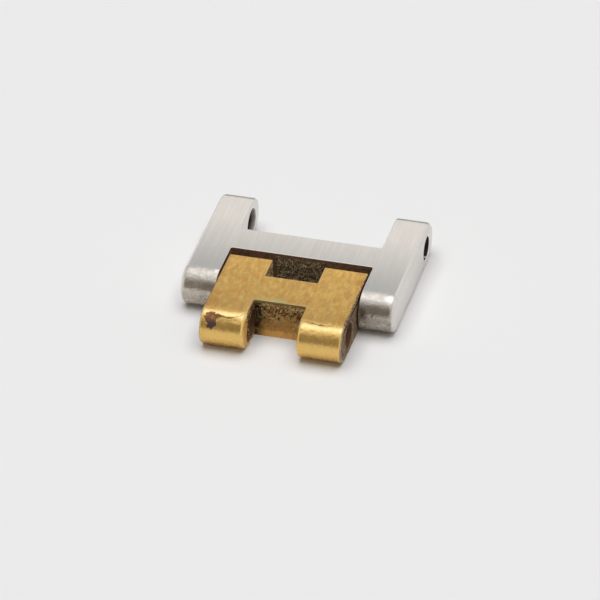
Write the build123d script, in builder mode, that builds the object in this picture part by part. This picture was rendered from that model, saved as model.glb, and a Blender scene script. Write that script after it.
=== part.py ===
# Watch bracelet link: a steel outer link with a gold-capped centre link hinged between its front arms.
# The origin is on the axis of the rear bore, midway between the arms. X runs along the pins,
# +Y points to the bored rear arms, -Y to the centre link's knuckles and +Z out of the show face.
import os

from build123d import *

os.makedirs("parts", exist_ok=True)

# Sizes that the pieces share, in millimetres
link_width = 14.2
link_thickness = 2.7
inner_width = 9.5
collar_skin = 0.12
collar_wall = 0.24
pin_running_clearance = 0.03
cut_overrun = 1.0

# Outer link
rear_end_wall = 0.87
bore_to_crossbar = 2.64
crossbar_length = 2.4
hinge_to_front_tip = 2.1
rear_tip_flat = 0.2
inside_corner_radius = 0.12
side_edge_radius = 0.35
gap_edge_radius = 0.15
recess_edge_radius = 0.05
collar_seat_depth = 1.0
bore_mouth_chamfer = 0.05

# Centre link
side_clearance = 0.08
swing_clearance = 0.18
tab_end_wall = 0.62
notch_width = 3.48
rear_notch_depth = 1.9
web_length = 2.86
knuckle_length = 2.75
knuckle_end_wall = 1.43
core_edge_radius = 0.1

# Gold cap
cap_thickness = 0.2
wrap_tail = 0.85
wrap_seam = 0.03
cap_edge_radius = 0.15

# Hinge pin
pin_radius = 0.6
pin_seat_depth = 1.5
pin_end_gap = 0.05
pin_end_chamfer = 0.08

# The pins that join one link to the next are held by short collars in the rear arms. A collar seat is
# as wide as a cut in the core may be that leaves a skin of its metal under the cap, the pin hole is one
# collar wall smaller, and the pin runs in the knuckles
half_width = link_width / 2
half_thickness = link_thickness / 2
core_half_thickness = half_thickness - cap_thickness
collar_seat_radius = core_half_thickness - collar_skin
pin_bore_radius = collar_seat_radius - collar_wall
knuckle_bore_radius = pin_bore_radius + pin_running_clearance
bore_to_tip = collar_seat_radius + rear_end_wall

# Places along the outer link, from its rear tips to its front tips. The hinge stands off the
# crossbar by the radius that the centre link's rear corners swing through
rear_round_radius = half_thickness - rear_tip_flat / 2
rear_round_y = bore_to_tip - rear_round_radius
rear_round_z = rear_tip_flat / 2
crossbar_rear_y = -bore_to_crossbar
recess_wall_y = crossbar_rear_y - crossbar_length
hinge_to_tab_end = pin_radius + tab_end_wall
swing_radius = (hinge_to_tab_end**2 + half_thickness**2) ** 0.5
hinge_y = recess_wall_y - swing_radius - swing_clearance
front_tip_y = hinge_y - hinge_to_front_tip
front_round_y = front_tip_y + half_thickness

# Places along the centre link, from its tabs to its knuckles
centre_half_width = inner_width / 2 - side_clearance
tab_end_y = hinge_y + hinge_to_tab_end
web_rear_y = tab_end_y - rear_notch_depth
web_front_y = web_rear_y - web_length
knuckle_tip_y = web_front_y - knuckle_length
knuckle_round_y = knuckle_tip_y + half_thickness
knuckle_bore_y = knuckle_tip_y + knuckle_end_wall + knuckle_bore_radius
wrap_end_y = knuckle_round_y + wrap_tail

# Places of the hinge pin along X
pin_seat_x = inner_width / 2 + pin_seat_depth
pin_left_x = -half_width + pin_end_gap


# Outer link: one piece of steel in the shape of an H
with BuildPart() as outer_link:
    # Side profile, fully rounded at the front end and nearly so at the rear end
    with BuildSketch(Plane.YZ):
        with BuildLine():
            Line((front_round_y, half_thickness), (rear_round_y, half_thickness))
            RadiusArc((rear_round_y, half_thickness), (bore_to_tip, rear_round_z), rear_round_radius)
            Line((bore_to_tip, rear_round_z), (bore_to_tip, -rear_round_z))
            RadiusArc((bore_to_tip, -rear_round_z), (rear_round_y, -half_thickness), rear_round_radius)
            Line((rear_round_y, -half_thickness), (front_round_y, -half_thickness))
            ThreePointArc(
                (front_round_y, -half_thickness),
                (front_tip_y, 0),
                (front_round_y, half_thickness),
            )
        make_face()
    extrude(amount=half_width, both=True)
    fillet(outer_link.faces().filter_by(Axis.X).edges(), radius=side_edge_radius)
    # Gap between the rear arms, for the next centre link's knuckles
    with BuildSketch(Plane.XY.offset(-half_thickness - cut_overrun)) as rear_gap:
        with Locations((0, crossbar_rear_y)):
            Rectangle(
                inner_width,
                bore_to_crossbar + bore_to_tip + cut_overrun,
                align=(Align.CENTER, Align.MIN),
            )
        fillet(rear_gap.vertices().group_by(Axis.Y)[0], radius=inside_corner_radius)
    extrude(amount=link_thickness + 2 * cut_overrun, mode=Mode.SUBTRACT)
    gap_walls = outer_link.faces().filter_by(Axis.X).sort_by(Axis.X)[1:-1]
    gap_rim = [edge for wall in gap_walls for edge in wall.edges().sort_by(Axis.Y)[1:]]
    fillet(gap_rim, radius=gap_edge_radius)
    # Recess between the front arms, for this link's own centre link
    with BuildSketch(Plane.XY.offset(-half_thickness - cut_overrun)) as front_recess:
        with Locations((0, recess_wall_y)):
            Rectangle(
                inner_width,
                recess_wall_y - front_tip_y + cut_overrun,
                align=(Align.CENTER, Align.MAX),
            )
        fillet(front_recess.vertices().group_by(Axis.Y)[-1], radius=inside_corner_radius)
    extrude(amount=link_thickness + 2 * cut_overrun, mode=Mode.SUBTRACT)
    recess_walls = outer_link.faces().filter_by(Axis.X).group_by(Axis.Y)[0]
    recess_rim = [edge for wall in recess_walls for edge in wall.edges().sort_by(Axis.Y)[:-1]]
    fillet(recess_rim, radius=recess_edge_radius)
    # Stepped rear bore: a pin hole from the outside and a wider collar seat from the inside
    with BuildSketch(Plane.YZ):
        Circle(pin_bore_radius)
    extrude(amount=half_width + cut_overrun, both=True, mode=Mode.SUBTRACT)
    bore_rims = outer_link.edges(Select.LAST).filter_by(GeomType.CIRCLE).sort_by(Axis.X)
    chamfer([bore_rims[0], bore_rims[-1]], length=bore_mouth_chamfer)
    with BuildSketch(Plane.YZ):
        Circle(collar_seat_radius)
    extrude(amount=inner_width / 2 + collar_seat_depth, both=True, mode=Mode.SUBTRACT)
    # Hinge bore: through the left arm and blind in the right arm, whose outer face stays whole
    with BuildSketch(Plane.YZ.offset(-half_width - cut_overrun)):
        with Locations((hinge_y, 0)):
            Circle(pin_radius)
    extrude(amount=half_width + cut_overrun + pin_seat_x, mode=Mode.SUBTRACT)
outer_link.part.label = "outer_link"
export_step(outer_link.part, "parts/outer_link.step")


# Centre link core: an H of base metal, with rear tabs on the hinge pin and knuckles for the next pin
with BuildPart() as centre_core:
    # Side profile, stepped under the knuckles where the cap's end comes round
    with BuildSketch(Plane.YZ):
        with BuildLine():
            Line((tab_end_y, core_half_thickness), (knuckle_round_y, core_half_thickness))
            ThreePointArc(
                (knuckle_round_y, core_half_thickness),
                (knuckle_tip_y + cap_thickness, 0),
                (knuckle_round_y, -core_half_thickness),
            )
            Polyline(
                (knuckle_round_y, -core_half_thickness),
                (wrap_end_y, -core_half_thickness),
                (wrap_end_y, -half_thickness),
                (tab_end_y, -half_thickness),
                (tab_end_y, core_half_thickness),
            )
        make_face()
    extrude(amount=centre_half_width, both=True)
    lower_edges = centre_core.edges().filter_by(Axis.Y).group_by(Axis.Z)[0]
    fillet(lower_edges, radius=core_edge_radius)
    # Rear notch between the tabs and front notch between the knuckles
    with BuildSketch(Plane.XY.offset(-half_thickness - cut_overrun)):
        with Locations((0, web_rear_y)):
            Rectangle(notch_width, rear_notch_depth + cut_overrun, align=(Align.CENTER, Align.MIN))
        with Locations((0, web_front_y)):
            Rectangle(notch_width, knuckle_length + cut_overrun, align=(Align.CENTER, Align.MAX))
    extrude(amount=link_thickness + 2 * cut_overrun, mode=Mode.SUBTRACT)
    # Hinge bore in the tabs, and in the knuckles the bore for the next pin
    with BuildSketch(Plane.YZ):
        with Locations((hinge_y, 0)):
            Circle(pin_radius + pin_running_clearance)
        with Locations((knuckle_bore_y, 0)):
            Circle(knuckle_bore_radius)
    extrude(amount=centre_half_width + cut_overrun, both=True, mode=Mode.SUBTRACT)
    # Relief in the web where the next pin crosses the front notch, as wide as a collar seat
    with BuildSketch(Plane.YZ):
        with Locations((knuckle_bore_y, 0)):
            Circle(collar_seat_radius)
    extrude(amount=notch_width / 2, both=True, mode=Mode.SUBTRACT)
centre_core.part.label = "centre_core"
export_step(centre_core.part, "parts/centre_core.step")


# Gold cap: a thin sheet over the core's top, wrapped round the knuckles to end under them
with BuildPart() as centre_cap:
    with BuildSketch(Plane.YZ):
        with BuildLine():
            Line((tab_end_y, half_thickness), (knuckle_round_y, half_thickness))
            ThreePointArc(
                (knuckle_round_y, half_thickness),
                (knuckle_tip_y, 0),
                (knuckle_round_y, -half_thickness),
            )
            Polyline(
                (knuckle_round_y, -half_thickness),
                (wrap_end_y - wrap_seam, -half_thickness),
                (wrap_end_y - wrap_seam, -core_half_thickness),
                (knuckle_round_y, -core_half_thickness),
            )
            ThreePointArc(
                (knuckle_round_y, -core_half_thickness),
                (knuckle_tip_y + cap_thickness, 0),
                (knuckle_round_y, core_half_thickness),
            )
            Polyline(
                (knuckle_round_y, core_half_thickness),
                (tab_end_y, core_half_thickness),
                (tab_end_y, half_thickness),
            )
        make_face()
    extrude(amount=centre_half_width, both=True)
    # The sheet follows both notches
    with BuildSketch(Plane.XY.offset(-half_thickness - cut_overrun)):
        with Locations((0, web_rear_y)):
            Rectangle(notch_width, rear_notch_depth + cut_overrun, align=(Align.CENTER, Align.MIN))
        with Locations((0, web_front_y)):
            Rectangle(notch_width, knuckle_length + cut_overrun, align=(Align.CENTER, Align.MAX))
    extrude(amount=link_thickness + 2 * cut_overrun, mode=Mode.SUBTRACT)
    # The outer edges are softened round each knuckle and along the top
    side_edges = centre_cap.faces().filter_by(Axis.X).edges().filter_by(GeomType.CIRCLE)
    outer_rims = [edge for edge in side_edges if edge.radius > half_thickness - cap_thickness / 2]
    fillet(outer_rims, radius=cap_edge_radius)
centre_cap.part.label = "centre_cap"
export_step(centre_cap.part, "parts/centre_cap.step")


# Hinge pin: pressed in from the left side, with its left end just below the outer face
with BuildPart() as hinge_pin:
    with BuildSketch(Plane.YZ.offset(pin_left_x)):
        with Locations((hinge_y, 0)):
            Circle(pin_radius)
    extrude(amount=pin_seat_x - pin_end_gap - pin_left_x)
    chamfer(hinge_pin.edges().filter_by(GeomType.CIRCLE), length=pin_end_chamfer)
hinge_pin.part.label = "hinge_pin"
export_step(hinge_pin.part, "parts/hinge_pin.step")

print("rear pin hole radius", pin_bore_radius, "collar seat radius", collar_seat_radius)
print("knuckle bore radius", knuckle_bore_radius, "half width over the knuckles", centre_half_width)
print("hinge y", hinge_y, "knuckle bore y", knuckle_bore_y, "knuckle tip y", knuckle_tip_y)
print("tab end y", tab_end_y, "front tip y", front_tip_y, "rear tip y", bore_to_tip)
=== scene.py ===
import math

import bpy
from mathutils import Matrix, Vector, noise


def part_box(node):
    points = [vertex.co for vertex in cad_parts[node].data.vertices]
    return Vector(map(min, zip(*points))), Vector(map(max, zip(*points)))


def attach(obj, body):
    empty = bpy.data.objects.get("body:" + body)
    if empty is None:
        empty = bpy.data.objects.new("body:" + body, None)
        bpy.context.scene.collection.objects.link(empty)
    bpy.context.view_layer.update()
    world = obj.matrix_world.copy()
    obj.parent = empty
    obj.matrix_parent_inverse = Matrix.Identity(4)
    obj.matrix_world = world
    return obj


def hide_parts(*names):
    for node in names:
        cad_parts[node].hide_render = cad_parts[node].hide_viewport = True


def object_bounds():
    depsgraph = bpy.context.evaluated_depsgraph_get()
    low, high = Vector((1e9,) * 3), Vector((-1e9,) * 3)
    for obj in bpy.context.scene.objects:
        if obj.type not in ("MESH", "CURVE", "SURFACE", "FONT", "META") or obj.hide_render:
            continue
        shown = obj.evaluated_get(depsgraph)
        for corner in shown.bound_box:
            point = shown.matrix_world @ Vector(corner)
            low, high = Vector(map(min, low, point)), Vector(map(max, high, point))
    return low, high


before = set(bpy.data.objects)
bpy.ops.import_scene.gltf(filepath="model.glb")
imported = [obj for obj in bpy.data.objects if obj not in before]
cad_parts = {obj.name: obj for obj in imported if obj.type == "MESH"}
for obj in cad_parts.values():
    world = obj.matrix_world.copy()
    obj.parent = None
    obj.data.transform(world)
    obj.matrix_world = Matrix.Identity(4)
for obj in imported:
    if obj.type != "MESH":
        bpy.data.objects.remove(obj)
cad_low, cad_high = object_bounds()
mm = 0.001


# Camera: a long lens looks down on the link from its front and a little from its right, far enough
# away that the sides stay nearly parallel.
view_azimuth = math.radians(14.7816)
view_elevation = math.radians(33.7545)
view_roll = math.radians(-0.1049)
view_distance = 354.6069 * mm
view_right = 1.4069 * mm
view_up = 4.373 * mm
sensor = 36.0
picture_size = 600
focal_pixels = 5400

back = Vector((
    math.sin(view_azimuth) * math.cos(view_elevation),
    -math.cos(view_azimuth) * math.cos(view_elevation),
    math.sin(view_elevation),
))
level_right = Vector((math.cos(view_azimuth), math.sin(view_azimuth), 0))
right = Matrix.Rotation(view_roll, 3, back) @ level_right
up = back.cross(right)
camera = bpy.data.objects.new("camera", bpy.data.cameras.new("camera"))
bpy.context.scene.collection.objects.link(camera)
camera.data.sensor_width = sensor
camera.data.lens = focal_pixels * sensor / picture_size
camera.data.clip_start = view_distance / 10
camera.data.clip_end = view_distance * 20
camera.matrix_world = Matrix.Translation(
    back * view_distance - right * view_right - up * view_up
) @ Matrix((right, up, back)).transposed().to_4x4()
bpy.context.scene.camera = camera


# Outer link: one steel piece in the shape of an H, milled from bar. Its top and underside are brushed
# along the bracelet, its sides and round ends are polished, and wear has left dirt in the recess.
link_low, link_high = (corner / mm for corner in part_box("outer_link"))
half_thickness = link_high.z
front_round_y = link_low.y + half_thickness
rear_round_y = link_high.y - half_thickness
recess_wall_y = -5.04
recess_half_width = 4.75
pin_hole_radius = 0.79
collar_seat_radius = 1.03
collar_seat_x = 5.75
drill_ring_width = 0.09
# Along the link, where the brushed faces' painted reflection starts to pale towards the rear and where it is
# palest
brushed_reflection_fade = (-7.2, -1.5)
# Across the link, where the painted reflection on the lower halves of the front ends is palest and where
# that ends
left_painted_reflection = (-6.6, -4.0)
# The brushed faces are darker at the front than at the rear: a painted reflection
brushed_front_colour = (0.445, 0.433, 0.414, 1)
brushed_rear_colour = (0.735, 0.69, 0.635, 1)
side_colour = (0.7, 0.67, 0.63, 1)
round_end_colour = (0.53, 0.495, 0.45, 1)
low_end_colour = (0.5, 0.45, 0.385, 1)
painted_highlight_colour = (0.86, 0.83, 0.79, 1)
steel_soil_colour = (0.17, 0.15, 0.125, 1)
recess_dirt_colour = (0.17, 0.1, 0.047, 1)
rusty_dirt_colour = (0.24, 0.105, 0.045, 1)
# Near black in the bores: dirt and painted shade
bore_dirt_and_shade_colour = (0.02, 0.016, 0.013, 1)
seat_colour = (0.78, 0.7, 0.66, 1)
# Painted highlights on corners of the front ends, with the reach of each
painted_highlight_spots = (((-4.9, -7.95, 1.34), 0.3), ((6.7, -8.28, 1.26), 0.5))
# A painted glint low in the right hole, where a nick would catch the light
painted_glint_place = (6.98, 0.12, -0.79)


def put(tree, kind, inputs=None, **settings):
    """Adds a node. Its inputs are plain values or the sockets that feed them."""
    made = tree.nodes.new(kind)
    for name, value in settings.items():
        setattr(made, name, value)
    for name, value in (inputs or {}).items():
        if isinstance(value, bpy.types.NodeSocket):
            tree.links.new(value, made.inputs[name])
        else:
            made.inputs[name].default_value = value
    return made


def maths(tree, operation, *values):
    """One sum on numbers or sockets, from left to right."""
    total = values[0]
    for value in values[1:]:
        total = put(tree, "ShaderNodeMath", {0: total, 1: value}, operation=operation).outputs[0]
    return total


def times(tree, *values):
    return maths(tree, "MULTIPLY", *values)


def most(tree, *values):
    return maths(tree, "MAXIMUM", *values)


def rest(tree, value):
    """What is left of 1."""
    return maths(tree, "SUBTRACT", 1.0, value)


def size(tree, value):
    return put(tree, "ShaderNodeMath", {0: value}, operation="ABSOLUTE").outputs[0]


def ramp(tree, value, low, high, to_low=0.0, to_high=1.0, shape="SMOOTHSTEP"):
    """Turns a value into a step from to_low at low to to_high at high."""
    return put(tree, "ShaderNodeMapRange", {
        "Value": value, "From Min": low, "From Max": high, "To Min": to_low, "To Max": to_high,
    }, interpolation_type=shape).outputs["Result"]


def blend(tree, share, first, second):
    """Mixes two colours by a share from 0 to 1."""
    return put(tree, "ShaderNodeMix", {0: share, 6: first, 7: second}, data_type="RGBA").outputs[2]


def shade(tree, colour, tone):
    """Makes a colour lighter or darker."""
    plain = colour[:3] if isinstance(colour, tuple) else colour
    return put(tree, "ShaderNodeVectorMath", {0: plain, "Scale": tone}, operation="SCALE").outputs[0]


def effect(name, inputs, outputs):
    """An empty node group with number inputs, given with their usual values, and number outputs."""
    tree = bpy.data.node_groups.new(name, "ShaderNodeTree")
    for label, value in inputs.items():
        socket = tree.interface.new_socket(label, in_out="INPUT", socket_type="NodeSocketFloat")
        socket.default_value = value
    for label in outputs:
        tree.interface.new_socket(label, in_out="OUTPUT", socket_type="NodeSocketFloat")
    return tree, tree.nodes.new("NodeGroupInput").outputs, tree.nodes.new("NodeGroupOutput").inputs


def place_in_mm(tree):
    """The point on the piece, in millimetres of its own frame."""
    point = put(tree, "ShaderNodeTexCoord").outputs["Object"]
    return put(tree, "ShaderNodeVectorMath", {0: point, 1: (1 / mm,) * 3}, operation="MULTIPLY").outputs[0]


def vector(tree, x=0.0, y=0.0, z=0.0):
    return put(tree, "ShaderNodeCombineXYZ", {"X": x, "Y": y, "Z": z}).outputs[0]


def parts(tree, place):
    return put(tree, "ShaderNodeSeparateXYZ", {0: place}).outputs


def length(tree, place):
    return put(tree, "ShaderNodeVectorMath", {0: place}, operation="LENGTH").outputs["Value"]


def near_point(tree, centre, inner, outer):
    """1 within the inner distance of a point on the piece, fading to 0 at the outer one."""
    away = put(tree, "ShaderNodeVectorMath", {0: place_in_mm(tree), 1: centre}, operation="DISTANCE")
    return ramp(tree, away.outputs["Value"], inner, outer, 1.0, 0.0)


def brushing():
    """Fine lines along the bracelet, and the broader streaks that they gather in."""
    tree, given, made = effect("brushing", {"Line width": 0.05, "Line length": 3.0}, ["Lines", "Streaks"])
    place = place_in_mm(tree)
    for label, wider, longer in (("Lines", 1.0, 1.0), ("Streaks", 5.0, 2.5)):
        across = times(tree, given["Line width"], wider)
        along = times(tree, given["Line length"], longer)
        spot = put(tree, "ShaderNodeVectorMath", {0: place, 1: vector(tree, across, along, across)},
                   operation="DIVIDE").outputs[0]
        grain = put(tree, "ShaderNodeTexNoise",
                    {"Vector": spot, "Scale": 1.0, "Detail": 3.0, "Roughness": 0.6})
        tree.links.new(grain.outputs["Fac"], made[label])
    return tree


def soil():
    """Uneven patches of dirt, stain or dullness."""
    tree, given, made = effect("soil", {
        "Patch size": 0.5, "Level": 0.5, "Softness": 0.06, "Shift": 0.0, "Detail": 6.0, "Stretch": 1.0,
    }, ["Mask"])
    shifted = put(tree, "ShaderNodeVectorMath", {
        0: place_in_mm(tree), 1: vector(tree, given["Shift"], given["Shift"]),
    }, operation="ADD").outputs[0]
    patch_length = times(tree, given["Patch size"], given["Stretch"])
    spot = put(tree, "ShaderNodeVectorMath", {
        0: shifted, 1: vector(tree, given["Patch size"], patch_length, given["Patch size"]),
    }, operation="DIVIDE").outputs[0]
    cloud = put(tree, "ShaderNodeTexNoise", {
        "Vector": spot, "Scale": 1.0, "Detail": given["Detail"], "Roughness": 0.62,
    })
    low = maths(tree, "SUBTRACT", given["Level"], given["Softness"])
    high = maths(tree, "ADD", given["Level"], given["Softness"])
    tree.links.new(ramp(tree, cloud.outputs["Fac"], low, high), made["Mask"])
    return tree


def pitting():
    """Small round pits, in only some of the cells that the surface is divided into."""
    tree, given, made = effect("pitting", {"Cell size": 0.15, "Pit size": 0.3, "Share": 0.4}, ["Pits"])
    cells = vector(tree, given["Cell size"], given["Cell size"], given["Cell size"])
    spot = put(tree, "ShaderNodeVectorMath", {0: place_in_mm(tree), 1: cells}, operation="DIVIDE").outputs[0]
    cell = put(tree, "ShaderNodeTexVoronoi", {"Vector": spot, "Scale": 1.0})
    close = ramp(tree, cell.outputs["Distance"], 0.0, given["Pit size"], 1.0, 0.0)
    chance = put(tree, "ShaderNodeSeparateColor", {"Color": cell.outputs["Color"]}).outputs["Red"]
    tree.links.new(times(tree, close, maths(tree, "LESS_THAN", chance, given["Share"])), made["Pits"])
    return tree


brushing_effect = brushing()
soil_effect = soil()
pitting_effect = pitting()


def use(tree, group, **values):
    """Places an effect in a material, with its own values, and returns its outputs."""
    placed = put(tree, "ShaderNodeGroup", node_tree=group)
    for label, value in values.items():
        placed.inputs[label.replace("_", " ")].default_value = value
    return list(placed.outputs)


def patches(tree, patch_size, level, softness, shift, detail=6.0, stretch=1.0):
    """The mask of the soil effect. The stretch lengthens its patches along the bracelet."""
    return use(tree, soil_effect, Patch_size=patch_size, Level=level, Softness=softness, Shift=shift,
               Detail=detail, Stretch=stretch)[0]


def finish_of(name):
    """A new material, its node tree and its shader."""
    material = bpy.data.materials.new(name)
    material.use_nodes = True
    return material, material.node_tree, material.node_tree.nodes["Principled BSDF"]


def feed(tree, shader, **sources):
    """Feeds sockets of the shader, or sets them where the source is a plain value."""
    for label, source in sources.items():
        socket = shader.inputs[label.replace("_", " ")]
        if isinstance(source, bpy.types.NodeSocket):
            tree.links.new(source, socket)
        else:
            socket.default_value = source


def relief(tree, *heights):
    """One normal from several heights, each with its depth in millimetres."""
    normal = None
    for height, depth in heights:
        inputs = {"Height": height, "Distance": depth * mm, "Strength": 1.0}
        if normal is not None:
            inputs["Normal"] = normal
        normal = put(tree, "ShaderNodeBump", inputs).outputs["Normal"]
    return normal


def outer_steel():
    material, tree, shader = finish_of("outer_steel")
    x, y, z = parts(tree, place_in_mm(tree))
    facing_x, facing_y, facing_z = parts(tree, put(tree, "ShaderNodeTexCoord").outputs["Normal"])
    lines, streaks = use(tree, brushing_effect, Line_width=0.045, Line_length=2.6)
    # The brushed faces end in a clean line where the front ends turn over, and run a little way
    # over the rear ones
    flat = ramp(tree, size(tree, facing_z), 0.9, 0.985)
    behind_front = ramp(tree, y, front_round_y - 0.02, front_round_y + 0.02)
    before_rear = ramp(tree, y, rear_round_y + 0.22, rear_round_y + 0.36, 1.0, 0.0)
    brushed = times(tree, flat, behind_front, before_rear)
    # Dirt lies on the recess walls and in the bores; the bores' near black is also painted shade
    inside = maths(tree, "LESS_THAN", size(tree, x), recess_half_width + 0.04)
    ahead = maths(tree, "LESS_THAN", y, recess_wall_y + 0.015)
    upright = ramp(tree, size(tree, facing_z), 0.4, 0.75, 1.0, 0.0)
    recess = times(tree, inside, ahead, upright)
    reach = length(tree, vector(tree, y, z))
    in_hole = maths(tree, "LESS_THAN", reach, pin_hole_radius + 0.01)
    in_seat = times(tree, maths(tree, "LESS_THAN", reach, collar_seat_radius + 0.01),
                    maths(tree, "LESS_THAN", size(tree, x), collar_seat_x + 0.02))
    bore = most(tree, in_hole, in_seat)
    # The collar seats fade inward from their paler mouths to near black, a painted shade, with rings from
    # the drill
    turns = vector(tree, maths(tree, "DIVIDE", x, drill_ring_width))
    rings = put(tree, "ShaderNodeTexNoise", {"Vector": turns, "Scale": 1.0})
    mouth = ramp(tree, size(tree, x), recess_half_width + 0.05, recess_half_width + 0.42, 1.0, 0.0)
    mouth = times(tree, mouth, rest(tree, in_hole))
    bore_colour = blend(tree, mouth, bore_dirt_and_shade_colour, shade(
        tree, seat_colour, ramp(tree, rings.outputs["Fac"], 0.35, 0.65, 0.45, 1.25)))
    rusty = times(tree, patches(tree, 0.6, 0.5, 0.08, 5.0), ramp(tree, size(tree, x), 1.4, 2.0, 0.1, 0.8))
    crumbs = patches(tree, 0.25, 0.5, 0.2, 7.0)
    dirt_colour = blend(tree, rusty, recess_dirt_colour, rusty_dirt_colour)
    dirt_colour = shade(tree, dirt_colour, ramp(tree, crumbs, 0.0, 1.0, 0.75, 1.25))
    # The lower half of each front end is hazy and specked
    spots = patches(tree, 0.16, 0.57, 0.04, 9.0)
    haze = patches(tree, 0.7, 0.45, 0.15, 14.0)
    front_end = rest(tree, behind_front)
    sideways = ramp(tree, size(tree, facing_x), 0.35, 0.8)
    low_front = times(tree, front_end, ramp(tree, facing_z, 0.2, -0.1), rest(tree, sideways))
    dull = times(tree, low_front, most(tree, spots, times(tree, haze, 0.3)))
    blotches = patches(tree, 0.4, 0.5, 0.2, 25.0)
    # Colour
    # A painted reflection: the brushed faces pale from front to rear
    rearward_reflection_share = ramp(tree, y, *brushed_reflection_fade, shape="LINEAR")
    satin_colour = blend(tree, rearward_reflection_share, brushed_front_colour, brushed_rear_colour)
    satin_colour = shade(tree, satin_colour, times(
        tree, ramp(tree, streaks, 0.3, 0.7, 0.97, 1.03), ramp(tree, lines, 0.3, 0.7, 0.95, 1.05)))
    round_end = times(tree, most(tree, front_end, rest(tree, before_rear)), rest(tree, sideways))
    # The lower halves of the front ends are painted paler the more they face down, and paler on the left
    # end: a painted reflection of the table
    low_end_with_painted_reflection = shade(tree, low_end_colour, times(
        tree, ramp(tree, facing_z, -0.1, -0.75, 0.85, 1.45), ramp(tree, x, *left_painted_reflection, 1.3, 1.0)))
    turned_over = times(tree, front_end, ramp(tree, facing_z, 0.8, 0.5))
    end_colour = blend(tree, turned_over, round_end_colour, low_end_with_painted_reflection)
    # The rear ends are darkened along their upper edge, a painted dark reflection
    painted_dark_reflection = times(tree, ramp(tree, facing_y, 0.05, 0.35), ramp(tree, facing_y, 0.55, 0.85, 1.0, 0.25),
                   ramp(tree, facing_z, 0.0, 0.4))
    end_colour = shade(tree, end_colour, ramp(tree, painted_dark_reflection, 0.0, 1.0, 1.0, 0.52))
    end_colour = shade(tree, end_colour, ramp(tree, blotches, 0.0, 1.0, 0.9, 1.1))
    # Painted highlights on corners of the front ends
    for centre, spread in painted_highlight_spots:
        end_colour = blend(tree, near_point(tree, centre, 0.0, spread), end_colour, painted_highlight_colour)
    polished_colour = blend(tree, round_end, side_colour, end_colour)
    colour = blend(tree, brushed, polished_colour, satin_colour)
    colour = blend(tree, times(tree, dull, 0.7), colour, steel_soil_colour)
    colour = blend(tree, recess, colour, dirt_colour)
    colour = blend(tree, bore, colour, bore_colour)
    # A painted glint in the right hole
    colour = blend(tree, near_point(tree, painted_glint_place, 0.04, 0.13), colour, painted_highlight_colour)
    # Roughness and relief
    rough = put(tree, "ShaderNodeMix", {
        0: brushed, 2: ramp(tree, haze, 0.0, 1.0, 0.2, 0.26), 3: ramp(tree, lines, 0.3, 0.7, 0.3, 0.4),
    }).outputs[0]
    dirty = most(tree, recess, bore)
    rough = most(tree, maths(tree, "ADD", rough, times(tree, dull, 0.3)), times(tree, dirty, 0.8))
    scuffs = patches(tree, 0.9, 0.5, 0.3, 21.0)
    dents = patches(tree, 0.3, 0.5, 0.35, 27.0, 2.0)
    feed(tree, shader, Base_Color=colour, Roughness=rough, Metallic=ramp(tree, dirty, 0.0, 1.0, 1.0, 0.05),
         Normal=relief(tree, (scuffs, 0.003), (times(tree, lines, brushed), 0.003),
                       (times(tree, dents, round_end, ramp(tree, front_end, 0, 1, 0.3, 1)), 0.012),
                       (times(tree, crumbs, recess), 0.03)))
    return material


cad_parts["outer_link"].data.materials.clear()
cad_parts["outer_link"].data.materials.append(outer_steel())


# Hinge pin: drawn steel wire, pressed into the outer link's front arms. Only its left end and the
# short stretch in the centre link's rear notch can be seen.
pin_colour = (0.42, 0.4, 0.37, 1)
pin_rust_colour = (0.09, 0.045, 0.02, 1)


def pin_steel():
    material, tree, shader = finish_of("pin_steel")
    rust = patches(tree, 0.6, 0.5, 0.1, 31.0)
    wear = patches(tree, 0.12, 0.5, 0.2, 37.0)
    feed(tree, shader, Base_Color=blend(tree, times(tree, rust, 0.8), pin_colour, pin_rust_colour),
         Metallic=ramp(tree, rust, 0.0, 1.0, 1.0, 0.3), Roughness=ramp(tree, wear, 0.0, 1.0, 0.3, 0.5),
         Normal=relief(tree, (wear, 0.004)))
    return material


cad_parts["hinge_pin"].data.materials.clear()
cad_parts["hinge_pin"].data.materials.append(pin_steel())


# Centre link core: an H of base metal under the gold, milled and drilled. It has tarnished to a golden
# brown in the notches and grey brown on the sides, and dirt has packed its front notch.
core_low, core_high = (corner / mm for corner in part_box("centre_core"))
notch_half_width = 1.74
hinge_y = -7.04
web_rear_y = -7.72
web_front_y = -10.58
knuckle_bore_y = -11.08
knuckle_bore_radius = 0.82
core_side_colour = (0.34, 0.225, 0.125, 1)
side_grime_colour = (0.07, 0.037, 0.02, 1)
side_chip_colour = (0.52, 0.45, 0.38, 1)
core_notch_colour = (0.88, 0.495, 0.135, 1)
core_under_colour = (0.42, 0.29, 0.14, 1)
core_dirt_colour = (0.3, 0.165, 0.062, 1)
olive_dirt_colour = (0.36, 0.27, 0.11, 1)
rust_dirt_colour = (0.6, 0.31, 0.1, 1)
bore_wall_colour = (0.16, 0.075, 0.04, 1)
rear_grime_colour = (0.13, 0.065, 0.032, 1)
# Painted shade in the front notch's left corner: from and to across, and how dark
painted_corner_shade = (-1.6, -0.85, 0.2, 1.0)


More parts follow.
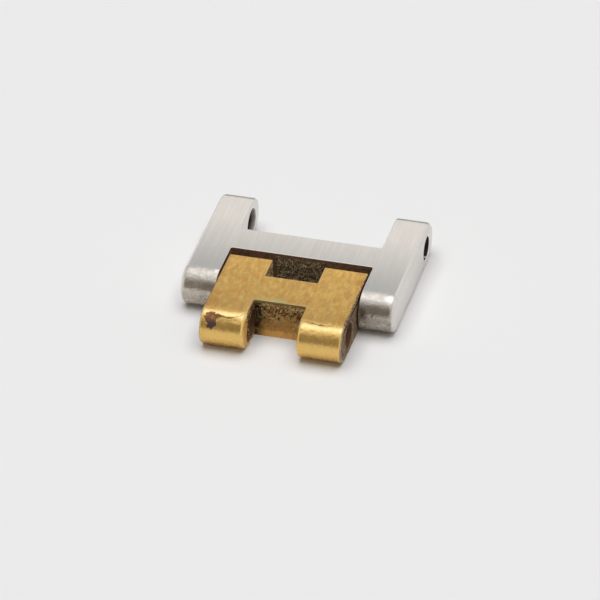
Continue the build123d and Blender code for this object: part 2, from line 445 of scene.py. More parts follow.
def core_metal():
    material, tree, shader = finish_of("core_metal")
    x, y, z = parts(tree, place_in_mm(tree))
    facing_x, facing_y, facing_z = parts(tree, put(tree, "ShaderNodeTexCoord").outputs["Normal"])
    sideways = ramp(tree, size(tree, facing_x), 0.6, 0.8)
    outer_side = ramp(tree, size(tree, x), core_high.x - 0.12, core_high.x - 0.08)
    notch_side = times(tree, sideways, rest(tree, outer_side))
    reach = length(tree, vector(tree, maths(tree, "SUBTRACT", y, knuckle_bore_y), z))
    in_knuckle = maths(tree, "GREATER_THAN", size(tree, x), notch_half_width - 0.01)
    bore = times(tree, in_knuckle, maths(tree, "LESS_THAN", reach, knuckle_bore_radius + 0.01))
    under = ramp(tree, facing_z, -0.9, -0.6, 1.0, 0.0)
    large = patches(tree, 0.45, 0.5, 0.07, 41.0)
    small = patches(tree, 0.13, 0.5, 0.08, 47.0)
    olive = patches(tree, 0.35, 0.49, 0.07, 53.0)
    rusty = patches(tree, 0.3, 0.54, 0.06, 57.0)
    dirt_colour = blend(tree, olive, core_dirt_colour, olive_dirt_colour)
    dirt_colour = blend(tree, times(tree, rusty, 0.7), dirt_colour, rust_dirt_colour)
    dirt_colour = shade(tree, dirt_colour, ramp(tree, small, 0.0, 1.0, 0.5, 1.3))
    # The web's front wall is dirty above and at its left end, and stays golden elsewhere; the dirt at the
    # left end is partly painted shade of that corner
    wall = times(tree, ramp(tree, facing_y, -0.7, -0.4, 1.0, 0.0), rest(tree, in_knuckle))
    lower = maths(tree, "ADD", z, times(tree, large, 0.6), ramp(tree, x, -1.75, -0.9, 0.9, 0.0))
    wall_dirt = times(tree, wall, ramp(tree, lower, -0.25, 0.35))
    rear_dirt = times(tree, ramp(tree, y, web_rear_y - 0.1, web_rear_y, 0.0, 0.85), rest(tree, outer_side))
    # Each knuckle's notch face is bright at its rim and dark round the bore
    ring = ramp(tree, maths(tree, "ADD", reach, times(tree, large, 0.25)), 1.15, 1.6)
    ring_dirt = times(tree, notch_side, rest(tree, ring))
    dirt_colour = shade(tree, dirt_colour, ramp(tree, ring_dirt, 0.0, 1.0, 1.0, 0.3))
    rear_grime = times(tree, rear_dirt, rest(tree, times(tree, rusty, 0.5)))
    dirt_colour = blend(tree, rear_grime, dirt_colour, rear_grime_colour)
    dirt = most(tree, wall_dirt, rear_dirt, ring_dirt, times(tree, small, 0.25, rest(tree, outer_side)))
    # The outer sides are grimed and chipped, dark under the cap, with a paler ring round the bore
    grime = most(tree, times(tree, patches(tree, 0.35, 0.5, 0.08, 43.0), 0.7),
                 times(tree, ramp(tree, reach, 0.95, 1.25, 1.0, 0.0), 0.5),
                 ramp(tree, maths(tree, "ADD", z, times(tree, small, 0.15)), 0.85, 1.05))
    from_rim = size(tree, maths(tree, "SUBTRACT", reach, knuckle_bore_radius + 0.08))
    pressed = times(tree, ramp(tree, from_rim, 0.03, 0.08, 0.7, 0.0),
                    ramp(tree, y, knuckle_bore_y, knuckle_bore_y + 0.5), ramp(tree, small, 0, 1, 0.4, 1))
    chips = most(tree, patches(tree, 0.16, 0.6, 0.03, 45.0), pressed)
    side_metal = blend(tree, grime, core_side_colour, side_grime_colour)
    side_metal = blend(tree, times(tree, chips, 0.7), side_metal, side_chip_colour)
    metal = blend(tree, outer_side, core_notch_colour, side_metal)
    metal = blend(tree, under, metal, core_under_colour)
    colour = blend(tree, dirt, metal, dirt_colour)
    # Painted shade in the front notch's left corner
    colour = shade(tree, colour, most(tree, rest(tree, wall), ramp(tree, x, *painted_corner_shade)))
    colour = blend(tree, times(tree, bore, 0.9), colour, bore_wall_colour)
    dull = most(tree, dirt, times(tree, outer_side, 0.8), bore, times(tree, rest(tree, under), 0.6))
    feed(tree, shader, Base_Color=colour, Metallic=ramp(tree, dull, 0.0, 1.0, 0.95, 0.05),
         Roughness=ramp(tree, dull, 0.0, 1.0, 0.4, 0.75),
         Specular_IOR_Level=ramp(tree, dull, 0.0, 1.0, 0.5, 0.2),
         Normal=relief(tree, (large, 0.02), (small, 0.02)))
    return material


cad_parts["centre_core"].data.materials.clear()
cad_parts["centre_core"].data.materials.append(core_metal())


# Gold cap: a thin gold sheet laid over the core and rolled round its knuckles. Its top is worn satin,
# the knuckles are rubbed bright, a fold has crept into each and the left one is worn through.
cap_low, cap_high = (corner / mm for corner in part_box("centre_cap"))
cap_half_width = cap_high.x
sheet_thickness = core_low.y - cap_low.y
round_y = cap_low.y + half_thickness
rear_notch_end = 1.9
front_notch_start = 4.76
flat_length = cap_high.y - round_y
round_length = math.pi * half_thickness
wrap_length = 0.82
sheet_length = flat_length + round_length + wrap_length
side_edge_radius = 0.15
knuckle_edge_radius = 0.24
notch_edge_radius = 0.07
# Places near a rounded edge, as distances from it
edge_stations = (0.0, 0.01, 0.03, 0.055, 0.085, 0.12, 0.16, 0.2, 0.25)
# Where the sheet is worn through: across, degrees above straight ahead, and radius
worn_spots = ((-3.98, 52, 0.34), (-3.88, 36, 0.3), (-3.55, 57, 0.13), (-3.78, 27, 0.12))
# The two folds: across, degrees above straight ahead, depth and half width
left_fold = (
    (-3.5, 61, 0.06, 0.06), (-3.3, 58, 0.075, 0.07), (-3.05, 57, 0.07, 0.06), (-2.8, 56, 0.075, 0.07),
    (-2.55, 59, 0.05, 0.05), (-2.3, 65, 0.035, 0.045), (-2.05, 73, 0.03, 0.04), (-1.8, 84, 0.02, 0.04),
)
right_fold = (
    (1.8, 83, 0.01, 0.04), (2.2, 84, 0.03, 0.05), (2.4, 81, 0.055, 0.06), (2.75, 80, 0.04, 0.05),
    (3.05, 76, 0.06, 0.06), (3.4, 77, 0.05, 0.05), (3.7, 79, 0.02, 0.05), (4.2, 77, 0.01, 0.04),
)
deepest_fold = 0.075


def roll_off(distance, radius):
    """How far a rounded edge has dropped at some distance in from it."""
    if distance >= radius:
        return 0.0
    return radius - math.sqrt(radius**2 - (radius - max(distance, 0.0))**2)


def along_sheet(degrees):
    """The place along the sheet that faces some degrees above straight ahead on a knuckle."""
    return flat_length + half_thickness * math.radians(90 - degrees)


def smooth(value, low, high):
    """A smooth step from 0 at low to 1 at high."""
    share = min(1.0, max(0.0, (value - low) / (high - low)))
    return share * share * (3 - 2 * share)


def fold_depth(x, s, fold):
    """How deep a fold is at a point of the sheet, how close its line is, and how close below it, where shade
    is painted.
    """
    deepest, closest, below = 0.0, 0.0, 0.0
    for (xa, da, depth_a, wide_a), (xb, db, depth_b, wide_b) in zip(fold, fold[1:]):
        start = Vector((xa, along_sheet(da)))
        run = Vector((xb, along_sheet(db))) - start
        share = min(1.0, max(0.0, (Vector((x, s)) - start).dot(run) / run.length_squared))
        away = (Vector((x, s)) - start - run * share).length
        wide = wide_a + (wide_b - wide_a) * share
        nearness = 1 - smooth(away, 0, wide)
        deepest = max(deepest, nearness * (depth_a + (depth_b - depth_a) * share))
        closest = max(closest, nearness)
        if xa <= x < xb or xb <= x < xa:
            under = s - start.y - run.y * share
            below = depth_a / deepest_fold * smooth(under, -0.02, 0.02) * (1 - smooth(under, 0.05, 0.4))
    return deepest, closest, below


def worn_share(x, s):
    """How far the sheet is worn through at a point, from 0 to 1, with a ragged edge."""
    ragged = 0.14 * noise.noise(Vector((x, s, 0)) / 0.2) + 0.06 * noise.noise(Vector((x, s, 5)) / 0.07)
    return max(
        1 - smooth(math.hypot(x - xc, s - along_sheet(degrees)) + ragged, radius - 0.06, radius + 0.14)
        for xc, degrees, radius in worn_spots
    )


def hollows(x, s, spread, shift, depth):
    """Gentle hollows in the sheet, of some spread and about some depth, at most twice as deep."""
    return depth + depth * noise.noise(Vector((x, s, shift)) / spread)


def sheet_surface(x, s):
    """Depth of the show face at a point, and the marks there: worn, folded, painted shade below a fold and
    painted highlight along the rim.
    """
    side = cap_half_width - abs(x)
    notches = min(
        math.hypot(max(abs(x) - notch_half_width, 0), max(s - rear_notch_end, 0)),
        math.hypot(max(abs(x) - notch_half_width, 0), max(front_notch_start - s, 0)),
    )
    knuckle_rim = abs(x) - notch_half_width if s > flat_length - 0.2 else side
    edge = max(
        roll_off(side, side_edge_radius),
        roll_off(knuckle_rim, knuckle_edge_radius * smooth(s, flat_length - 0.2, flat_length + 0.4)),
        roll_off(notches, notch_edge_radius),
        roll_off(s, notch_edge_radius),
    )
    worn = worn_share(x, s)
    fold = fold_depth(x, s, left_fold if x < 0 else right_fold)
    swell = smooth(s, flat_length - 0.3, flat_length + 0.4)
    waves = hollows(x, s, 1.1, 11, 0.007)
    ripple = swell * hollows(x * 0.6, s, 0.4, 17, 0.002)
    # The sheet is crumpled where it turns over on to each knuckle
    crumpled = smooth(s, flat_length - 0.15, flat_length + 0.1)
    crumpled *= 1 - smooth(s, along_sheet(50), along_sheet(25))
    ripple += crumpled * hollows(x * 0.8, s, 0.2, 23, 0.012)
    depth = waves + ripple + fold[0] + 0.06 * smooth(worn, 0.45, 1.0)
    # A painted highlight along the sheet's edges
    rim_highlight = 1 - smooth(min(side, notches, s), 0.0, 0.1)
    return min(max(depth, 0.0) + edge, sheet_thickness - 0.02), worn, fold[1], fold[2], rim_highlight


def sheet_point(x, s, depth):
    """The point in space, in metres, of a point of the sheet at some depth below its show face."""
    if s <= flat_length:
        y, z = cap_high.y - s, half_thickness - depth
    elif s <= flat_length + round_length:
        turn = (s - flat_length) / half_thickness
        y = round_y - (half_thickness - depth) * math.sin(turn)
        z = (half_thickness - depth) * math.cos(turn)
    else:
        y, z = round_y + s - flat_length - round_length, depth - half_thickness
    return Vector((x, y, z)) * mm


def stations(start, end, step, edge_at_start, edge_at_end):
    """Places from start to end, closer together beside a rounded edge."""
    lead = [start + away for away in edge_stations] if edge_at_start else [start]
    tail = [end - away for away in reversed(edge_stations)] if edge_at_end else [end]
    count = max(1, round((tail[0] - lead[-1]) / step))
    return lead + [lead[-1] + (tail[0] - lead[-1]) * i / count for i in range(1, count)] + tail


def gold_sheet():
    arm = stations(notch_half_width, cap_half_width, 0.055, True, True)
    middle = stations(-notch_half_width, notch_half_width, 0.11, False, False)[1:-1]
    across = [-x for x in reversed(arm)] + middle + arm
    along = stations(0.0, rear_notch_end, 0.12, True, False)[:-1]
    along += stations(rear_notch_end, front_notch_start, 0.12, True, True)[:-1]
    along += stations(front_notch_start, flat_length, 0.1, False, False)[:-1]
    along += stations(flat_length, along_sheet(-30), 0.045, False, False)[:-1]
    along += stations(along_sheet(-30), sheet_length, 0.12, False, True)
    corners, faces, marks = [], [], []
    top, under = {}, {}
    for i, x in enumerate(across):
        for j, s in enumerate(along):
            in_notch = abs(x) < notch_half_width - 1e-6
            if in_notch and (s < rear_notch_end - 1e-6 or s > front_notch_start + 1e-6):
                continue
            depth, *found = sheet_surface(x, s)
            top[i, j] = len(corners)
            corners.append(sheet_point(x, s, depth))
            marks.append(found)
            under[i, j] = len(corners)
            corners.append(sheet_point(x, s, sheet_thickness))
            marks.append((0.0, 0.0, 0.0, 0.0))
    rims = {}
    for i in range(len(across) - 1):
        for j in range(len(along) - 1):
            ring = [(i, j), (i, j + 1), (i + 1, j + 1), (i + 1, j)]
            centre_x = (across[i] + across[i + 1]) / 2
            centre_s = (along[j] + along[j + 1]) / 2
            if abs(centre_x) < notch_half_width and not rear_notch_end < centre_s < front_notch_start:
                continue
            faces.append([top[place] for place in ring])
            faces.append([under[place] for place in reversed(ring)])
            for a, b in zip(ring, ring[1:] + ring[:1]):
                if (b, a) in rims:
                    del rims[b, a]
                else:
                    rims[a, b] = True
    faces += [[top[b], top[a], under[a], under[b]] for a, b in rims]
    mesh = bpy.data.meshes.new("gold_sheet")
    mesh.from_pydata(corners, [], faces)
    for index, label in enumerate(("worn", "fold", "fold_shade", "rim_highlight")):
        mark = mesh.attributes.new(label, "FLOAT", "POINT")
        mark.data.foreach_set("value", [m[index] for m in marks])
    mesh.polygons.foreach_set("use_smooth", [True] * len(mesh.polygons))
    mesh.set_sharp_from_angle(angle=math.radians(50))
    piece = bpy.data.objects.new("gold_sheet", mesh)
    bpy.context.scene.collection.objects.link(piece)
    return piece


gold_colour = (0.585, 0.357, 0.093, 1)
bright_gold_colour = (0.79, 0.52, 0.165, 1)
highlight_gold_colour = (0.9, 0.68, 0.34, 1)
stain_colour = (0.42, 0.2, 0.055, 1)
pale_chip_and_highlight_colour = (0.78, 0.6, 0.33, 1)
rust_colour = (0.36, 0.15, 0.04, 1)
bare_core_colour = (0.06, 0.03, 0.02, 1)
orange_colour = (0.5, 0.25, 0.055, 1)
lemon_colour = (0.72, 0.5, 0.15, 1)
lilac_colour = (0.48, 0.31, 0.125, 1)
edge_grime_colour = (0.12, 0.05, 0.025, 1)
side_rim_colour = (0.25, 0.2, 0.13, 1)
notch_edge_colour = (0.19, 0.125, 0.042, 1)
verdigris_colour = (0.37, 0.35, 0.125, 1)
# Along the link, where the gold's painted reflection is darkest towards the front and where it is palest
gold_reflection_fade = (-11.6, -6.2)
# A drop that has dried on the left side: its centre, and the radius of the ring it left
drop_place = (-3.02, -7.34, half_thickness)
drop_radius = 0.16
# Stained places on the sheet: centre, inner and outer reach, and how strong
stained_spots = (
    ((-4.3, -11.5, 1.3), 0.2, 1.3, 0.8),
    ((4.4, -7.0, 1.35), 0.1, 0.75, 0.75),
    ((4.5, -11.2, 1.3), 0.1, 0.8, 0.6),
    ((-4.1, -7.7, 1.35), 0.03, 0.25, 0.5),
    ((-4.2, -10.35, 1.3), 0.1, 0.6, 0.6),
    ((-4.6, -9.0, 1.3), 0.1, 0.5, 0.6),
)


def cap_gold():
    material, tree, shader = finish_of("cap_gold")
    x, y, z = parts(tree, place_in_mm(tree))
    facing_y = parts(tree, put(tree, "ShaderNodeTexCoord").outputs["Normal"])["Y"]
    worn, fold, fold_shade, rim_highlight = (put(tree, "ShaderNodeAttribute", attribute_name=label).outputs["Fac"]
                                   for label in ("worn", "fold", "fold_shade", "rim_highlight"))
    top = ramp(tree, y, round_y - 0.12, round_y + 0.02)
    lines, streaks = use(tree, brushing_effect, Line_width=0.06, Line_length=1.1)
    cloud = patches(tree, 1.6, 0.5, 0.2, 61.0)
    mottle = patches(tree, 0.32, 0.5, 0.18, 67.0, 3.0, 2.2)
    grain = patches(tree, 0.1, 0.5, 0.15, 69.0)
    pits = use(tree, pitting_effect, Cell_size=0.3, Pit_size=0.22, Share=0.35)[0]
    # Stains gather along the left edge and in a few spots
    left = ramp(tree, x, -4.7, -3.9, 0.5, 0.0)
    stain = times(tree, cloud, 0.2)
    for centre, inner, outer, strength in stained_spots:
        stain = most(tree, stain, times(tree, near_point(tree, centre, inner, outer), strength))
    # A drop has left a ring near the rear of the left side
    to_drop = put(tree, "ShaderNodeVectorMath", {0: place_in_mm(tree), 1: drop_place},
                  operation="DISTANCE").outputs["Value"]
    drop = ramp(tree, size(tree, maths(tree, "SUBTRACT", to_drop, drop_radius)), 0.02, 0.09, 0.5, 0.0)
    stain = times(tree, most(tree, stain, left, drop), ramp(tree, mottle, 0.0, 1.0, 0.35, 1.0))
    stain = times(tree, stain, ramp(tree, top, 0.0, 1.0, 0.3, 1.0))
    # Verdigris has crept over the front notch's rear edge
    wandering = maths(tree, "ADD", y, times(tree, mottle, 0.25))
    by_edge = ramp(tree, wandering, web_front_y + 0.35, web_front_y + 0.75, 1.0, 0.0)
    by_middle = times(tree, ramp(tree, x, 0.4, 0.5, 1.0, 0.0), ramp(tree, x, -1.5, 0.2, 0.35, 1.0))
    edge_line = times(tree, ramp(tree, y, web_front_y + 0.02, web_front_y + 0.07, 0.5, 0.0),
                      ramp(tree, size(tree, x), 1.5, 1.8, 1.0, 0.0))
    in_notch = ramp(tree, size(tree, x), notch_half_width - 0.05, notch_half_width, 1.0, 0.0)
    cloudy_green = ramp(tree, patches(tree, 0.4, 0.5, 0.15, 71.0, 2.0), 0, 1, 0.65, 1.0)
    green = times(tree, by_edge, by_middle, cloudy_green)
    green = times(tree, most(tree, green, edge_line), in_notch)
    # Colour. Along the link the tone darkens towards the front, a painted reflection
    tone = times(tree, ramp(tree, streaks, 0.3, 0.7, 0.96, 1.04), ramp(tree, mottle, 0.0, 1.0, 0.93, 1.07),
                 ramp(tree, grain, 0.0, 1.0, 0.96, 1.04),
                 ramp(tree, y, *gold_reflection_fade, 0.84, 1.08, shape="LINEAR"))
    satin = ramp(tree, z, half_thickness * 0.9, half_thickness * 0.995)
    worn_satin = gold_colour
    for tinge, share, spread, shift in ((orange_colour, 0.55, 0.4, 62.0), (lemon_colour, 0.5, 0.28, 64.0),
                                        (lilac_colour, 0.45, 0.2, 66.0)):
        cloudy = patches(tree, spread, 0.54, 0.1, shift, 2.5, 2.0)
        worn_satin = blend(tree, times(tree, cloudy, share), worn_satin, tinge)
    # A painted highlight pales the gold on the knuckles' crests
    painted_crest_highlight = ramp(tree, z, half_thickness * 0.76, half_thickness * 0.92, 0.0, 0.8)
    bright = blend(tree, painted_crest_highlight, bright_gold_colour, highlight_gold_colour)
    colour = blend(tree, satin, bright, shade(tree, worn_satin, tone))
    colour = blend(tree, stain, colour, stain_colour)
    colour = blend(tree, times(tree, pits, top, 0.5), colour, stain_colour)
    # A painted highlight along the sheet's edges
    colour = blend(tree, times(tree, rim_highlight, 0.4), colour, pale_chip_and_highlight_colour)
    # Grime lines the long edges, and the sheet's cut edge shows grey round the knuckles
    wavy = maths(tree, "ADD", size(tree, x), times(tree, mottle, 0.06))
    grimy_edge = times(tree, ramp(tree, wavy, cap_half_width - 0.1, cap_half_width - 0.03), top)
    edge_chips = patches(tree, 0.12, 0.6, 0.03, 73.0, 2.0)
    colour = blend(tree, times(tree, grimy_edge, 0.85), colour,
                   blend(tree, edge_chips, edge_grime_colour, pale_chip_and_highlight_colour))
    by_side = ramp(tree, size(tree, x), cap_half_width - 0.09, cap_half_width - 0.04)
    cut_edge = times(tree, by_side, rest(tree, top), ramp(tree, mottle, 0.0, 1.0, 0.6, 0.95))
    colour = blend(tree, cut_edge, colour, side_rim_colour)
    colour = blend(tree, green, colour, verdigris_colour)
    # Painted shade just below each fold
    colour = shade(tree, colour, ramp(tree, fold_shade, 0.0, 1.0, 1.0, 0.68))
    # The sheet's cut edge in the front notch is as dirty as the wall below it
    cut = times(tree, ramp(tree, facing_y, -0.75, -0.45, 1.0, 0.0), in_notch,
                ramp(tree, y, web_front_y + 0.1, web_front_y + 0.15, 1.0, 0.0))
    colour = blend(tree, cut, colour, notch_edge_colour)
    crack = ramp(tree, fold, 0.35, 0.9)
    colour = blend(tree, times(tree, crack, 0.85), colour, bare_core_colour)
    colour = blend(tree, ramp(tree, worn, 0.0, 0.45, 0.0, 0.75), colour, stain_colour)
    worn = ramp(tree, worn, 0.3, 0.7)
    rusty = times(tree, ramp(tree, patches(tree, 0.25, 0.5, 0.1, 79.0), 0, 1, 0.35, 1.0),
                  ramp(tree, z, 0.75, 1.0))
    colour = blend(tree, worn, colour, blend(tree, rusty, bare_core_colour, rust_colour))
    # Roughness and relief
    dull = most(tree, worn, green, crack, cut)
    rough = put(tree, "ShaderNodeMix", {
        0: top, 2: ramp(tree, mottle, 0.0, 1.0, 0.26, 0.32), 3: ramp(tree, lines, 0.3, 0.7, 0.36, 0.48),
    }).outputs[0]
    rough = most(tree, rough, times(tree, dull, 0.75))
    dents = patches(tree, 0.5, 0.5, 0.3, 67.0, 2.0)
    feed(tree, shader, Base_Color=colour, Roughness=rough, Metallic=ramp(tree, dull, 0.0, 1.0, 1.0, 0.1),
         Normal=relief(tree, (dents, 0.006), (times(tree, grain, top), 0.002),
                       (times(tree, rest(tree, pits), top), 0.008)))
    return material


gold = gold_sheet()
gold.data.materials.append(cap_gold())
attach(gold, "centre")
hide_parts("centre_cap")


# Dirt: crumbs and lint have packed behind the rear notch and on the front notch's wall. They are
# scattered over the walls that hold them, sunk a little into each.
# Darkest, lightest and tinge of each kind of dirt
lint_colours = ((0.13, 0.09, 0.04, 1), (0.7, 0.58, 0.37, 1), (0.26, 0.18, 0.075, 1))
crumb_colours = ((0.38, 0.23, 0.09, 1), (0.78, 0.54, 0.24, 1), (0.44, 0.3, 0.1, 1))
wall_crumb_colours = ((0.36, 0.2, 0.07, 1), (0.75, 0.5, 0.2, 1), (0.6, 0.31, 0.09, 1))
bore_crumb_colours = ((0.06, 0.034, 0.012, 1), (0.32, 0.22, 0.09, 1), (0.12, 0.08, 0.03, 1))
# Crumbs keep this far from the middle of the hinge's hole
hinge_hole_radius = 0.75


def packed_dirt(name, darkest, lightest, tinge, corner=False):
    material, tree, shader = finish_of(name)
    pale = patches(tree, 0.09, 0.52, 0.1, 83.0)
    tinged = patches(tree, 0.3, 0.5, 0.08, 89.0)
    colour = blend(tree, pale, blend(tree, tinged, darkest, tinge), lightest)
    # Crumbs in the front notch take the same painted shade in its left corner
    if corner:
        colour = shade(tree, colour, ramp(tree, parts(tree, place_in_mm(tree))["X"], *painted_corner_shade))
    feed(tree, shader, Base_Color=colour, Roughness=ramp(tree, pale, 0.0, 1.0, 0.9, 0.6),
         Specular_IOR_Level=0.25, Normal=relief(tree, (pale, 0.01)))
    return material


def scatter_tree(name):
    """Nodes that scatter one small shape over a wall but not over its hole, turned and sized at random."""
    tree = bpy.data.node_groups.new(name, "GeometryNodeTree")
    sockets = {}
    for label, kind in (("Wall", "Geometry"), ("Density", "Float"), ("Seed", "Int"), ("Smallest", "Float"),
                        ("Largest", "Float"), ("Thickness", "Float"), ("Bend", "Float"),
                        ("Hole centre", "Vector"), ("Hole radius", "Float"), ("Finish", "Material")):
        sockets[label] = tree.interface.new_socket(label, in_out="INPUT", socket_type="NodeSocket" + kind)
    tree.interface.new_socket("Dirt", in_out="OUTPUT", socket_type="NodeSocketGeometry")
    given = tree.nodes.new("NodeGroupInput").outputs
    points = put(tree, "GeometryNodeDistributePointsOnFaces",
                 {"Mesh": given["Wall"], "Density": given["Density"], "Seed": given["Seed"]})
    away = put(tree, "ShaderNodeVectorMath",
               {0: tree.nodes.new("GeometryNodeInputPosition").outputs[0], 1: given["Hole centre"]},
               operation="DISTANCE")
    in_hole = put(tree, "FunctionNodeCompare", {"A": away.outputs["Value"], "B": given["Hole radius"]},
                  operation="LESS_THAN")
    kept = put(tree, "GeometryNodeDeleteGeometry",
               {"Geometry": points.outputs["Points"], "Selection": in_hole.outputs[0]}, domain="POINT")
    bend = put(tree, "ShaderNodeCombineXYZ", {"Y": given["Bend"]}).outputs[0]
    strand = put(tree, "GeometryNodeCurveQuadraticBezier",
                 {"Resolution": 5, "Start": (-0.5, 0, 0), "Middle": bend, "End": (0.5, 0, 0)})
    ring = put(tree, "GeometryNodeCurvePrimitiveCircle",
               {"Resolution": 5, "Radius": given["Thickness"]}, mode="RADIUS")
    body = put(tree, "GeometryNodeCurveToMesh",
               {"Curve": strand.outputs[0], "Profile Curve": ring.outputs[0], "Fill Caps": True})
    turn = put(tree, "FunctionNodeRandomValue",
               {"Min": (0, 0, 0), "Max": (math.tau, math.tau, math.tau), "Seed": given["Seed"]},
               data_type="FLOAT_VECTOR")
    scale = put(tree, "FunctionNodeRandomValue",
                {2: given["Smallest"], 3: given["Largest"], "Seed": given["Seed"]}, data_type="FLOAT")
    strewn = put(tree, "GeometryNodeInstanceOnPoints",
                 {"Points": kept.outputs[0], "Instance": body.outputs[0],
                  "Rotation": turn.outputs[0], "Scale": scale.outputs[1]})
    real = put(tree, "GeometryNodeRealizeInstances", {0: strewn.outputs[0]})
    done = put(tree, "GeometryNodeSetMaterial", {"Geometry": real.outputs[0], "Material": given["Finish"]})
    out = tree.nodes.new("NodeGroupOutput")
    tree.links.new(done.outputs[0], out.inputs["Dirt"])
    return tree, {label: socket.identifier for label, socket in sockets.items()}


dirt_tree, dirt_sockets = scatter_tree("packed_dirt")


def scatter(name, low, high, body, slot, finish, hole_centre=(0, 0, 0), hole_radius=0.0, **values):
    """Strews dirt over an upright wall between two corners and leaves it as one plain mesh."""
    x0, y0, z0, x1, y1, z1 = (value * mm for value in (*low, *high))
    wall = bpy.data.meshes.new(name)
    wall.from_pydata([(x0, y0, z0), (x1, y1, z0), (x1, y1, z1), (x0, y0, z1)], [], [(0, 1, 2, 3)])
    piece = bpy.data.objects.new(name, wall)
    bpy.context.scene.collection.objects.link(piece)
    nodes = piece.modifiers.new("dirt", "NODES")
    nodes.node_group = dirt_tree
    values["Hole centre"] = [value * mm for value in hole_centre]
    values["Hole radius"] = hole_radius * mm
    for label, value in {**values, "Finish": finish}.items():
        nodes[dirt_sockets[label]] = value
    made = bpy.data.meshes.new_from_object(piece.evaluated_get(bpy.context.evaluated_depsgraph_get()))
    piece.modifiers.clear()
    piece.data = made
    made.name = name
    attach(piece, body)


lint_finish = packed_dirt("rear_notch_dirt", *lint_colours)
crumb_finish = packed_dirt("front_notch_dirt", *crumb_colours, corner=True)
wall_crumb_finish = packed_dirt("front_wall_dirt", *wall_crumb_colours, corner=True)
scatter("rear_notch_lint", (-1.6, recess_wall_y - 0.03, -0.62), (1.4, recess_wall_y - 0.03, 0.75), "outer",
        "outer_steel", lint_finish, Density=6.5e7, Seed=5, Smallest=0.2 * mm, Largest=0.5 * mm,
        Thickness=0.06, Bend=0.6)
scatter("rear_notch_crumbs", (-1.65, recess_wall_y - 0.01, 0.6), (1.5, recess_wall_y - 0.01, 1.1), "outer",
        "outer_steel", lint_finish, Density=9.0e7, Seed=33, Smallest=0.08 * mm, Largest=0.22 * mm,
        Thickness=0.12, Bend=0.5)
scatter("front_notch_crumbs", (-1.7, web_front_y - 0.005, -0.15), (1.7, web_front_y - 0.005, 1.17), "centre",
        "core_metal", crumb_finish, Density=3.6e7, Seed=9, Smallest=0.06 * mm, Largest=0.19 * mm,
        Thickness=0.33, Bend=0.2)
scatter("front_wall_crumbs", (-1.7, web_front_y - 0.005, -1.0), (1.7, web_front_y - 0.005, 0.4), "centre",
        "core_metal", wall_crumb_finish, Density=2.5e7, Seed=14, Smallest=0.05 * mm, Largest=0.15 * mm,
        Thickness=0.3, Bend=0.2)
bore_crumb_finish = packed_dirt("left_bore_dirt", *bore_crumb_colours)
scatter("left_bore_crumbs", (-notch_half_width, web_front_y - 0.05, -0.95),
        (-notch_half_width, web_front_y - 1.6, 1.0), "centre", "core_metal", bore_crumb_finish,
        hole_centre=(-notch_half_width, knuckle_bore_y, 0), hole_radius=knuckle_bore_radius + 0.04,
        Density=6.0e7, Seed=21, Smallest=0.08 * mm, Largest=0.22 * mm, Thickness=0.33, Bend=0.2)
scatter("left_tab_crumbs", (-notch_half_width, web_rear_y, -0.9),
        (-notch_half_width, core_high.y - 0.1, 1.15), "centre", "core_metal", lint_finish,
        hole_centre=(-notch_half_width, hinge_y, 0), hole_radius=hinge_hole_radius,
        Density=5.0e7, Seed=27, Smallest=0.06 * mm, Largest=0.2 * mm, Thickness=0.3, Bend=0.2)


# Studio: a pale table top under a broad soft lamp, in a white tent that is open to a dim room in front.
# The tent's walls and roof and the dim room are only seen in the metal.
table_colour = (0.86, 0.857, 0.856, 1)
table_half_width = 0.6
lamp_height = 0.4
lamp_width = 0.42
lamp_power = 1.6
tent_light = 0.25
tent_white = (0.93, 0.93, 0.93, 1)
# Each panel glows with its own strength at its middle and fades to the tent's white at its reach
roof_strength, roof_reach = 1.6, 0.3
roof_place = Vector((0, 0.08, 0.4))
room_strength, room_reach = 0.3, 0.56
room_side, room_rise, room_distance = math.radians(-16), math.radians(26), 0.6
roof_tint = (1, 1, 1, 1)
room_tint = (1, 0.9, 0.8, 1)


def table_top():
    mesh = bpy.data.meshes.new("table")
    z = cad_low.z
    w = table_half_width
    mesh.from_pydata([(-w, -w, z), (w, -w, z), (w, w, z), (-w, w, z)], [], [(0, 1, 2, 3)])
    table = bpy.data.objects.new("table", mesh)
    bpy.context.scene.collection.objects.link(table)
    material, tree, shader = finish_of("table")
    feed(tree, shader, Base_Color=table_colour, Roughness=0.8, Specular_IOR_Level=0.0)
    mesh.materials.append(material)


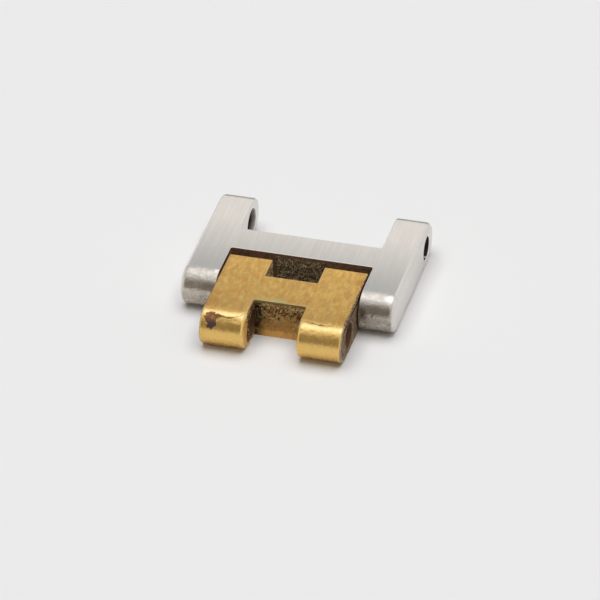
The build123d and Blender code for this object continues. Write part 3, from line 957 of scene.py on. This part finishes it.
def reflected_panel(name, place, strength, reach, tint):
    """A panel that is seen only in the metal, and lights nothing else."""
    across = place.orthogonal().normalized() * reach
    upward = place.cross(across).normalized() * reach
    mesh = bpy.data.meshes.new(name)
    mesh.from_pydata([tuple(place - across - upward), tuple(place + across - upward),
                      tuple(place + across + upward), tuple(place - across + upward)], [], [(0, 1, 2, 3)])
    panel = bpy.data.objects.new(name, mesh)
    bpy.context.scene.collection.objects.link(panel)
    material, tree, shader = finish_of(name)
    middle = near_point(tree, place / mm, reach * 0.3 / mm, reach * 0.95 / mm)
    feed(tree, shader, Base_Color=(0, 0, 0, 1), Specular_IOR_Level=0.0,
         Emission_Color=blend(tree, middle, (1, 1, 1, 1), tint),
         Emission_Strength=ramp(tree, middle, 0.0, 1.0, tent_white[0], strength))
    mesh.materials.append(material)
    panel.visible_camera = False
    panel.visible_diffuse = False
    panel.visible_shadow = False
    panel.visible_transmission = False


def seen_at(side, rise, distance):
    """A place at some distance from the link, turned sideways from its front and raised."""
    level = math.cos(rise)
    return Vector((math.sin(side) * level, -math.cos(side) * level, math.sin(rise))) * distance


table_top()
lamp = bpy.data.objects.new("overhead", bpy.data.lights.new("overhead", "AREA"))
lamp.data.shape = "SQUARE"
lamp.data.size = lamp_width
lamp.data.energy = lamp_power
lamp.location = (0, 0, lamp_height)
lamp.visible_glossy = False
bpy.context.scene.collection.objects.link(lamp)
reflected_panel("roof", roof_place, roof_strength, roof_reach, roof_tint)
reflected_panel("room", seen_at(room_side, room_rise, room_distance), room_strength, room_reach, room_tint)
world = bpy.data.worlds.new("tent")
bpy.context.scene.world = world
world.use_nodes = True
tent = world.node_tree
path = tent.nodes.new("ShaderNodeLightPath")
seen = most(tent, path.outputs["Is Camera Ray"], path.outputs["Is Glossy Ray"])
strength = ramp(tent, seen, 0.0, 1.0, tent_light, 1.0)
tent.nodes["Background"].inputs["Color"].default_value = tent_white
tent.links.new(strength, tent.nodes["Background"].inputs["Strength"])
bpy.context.scene.view_settings.view_transform = "Standard"
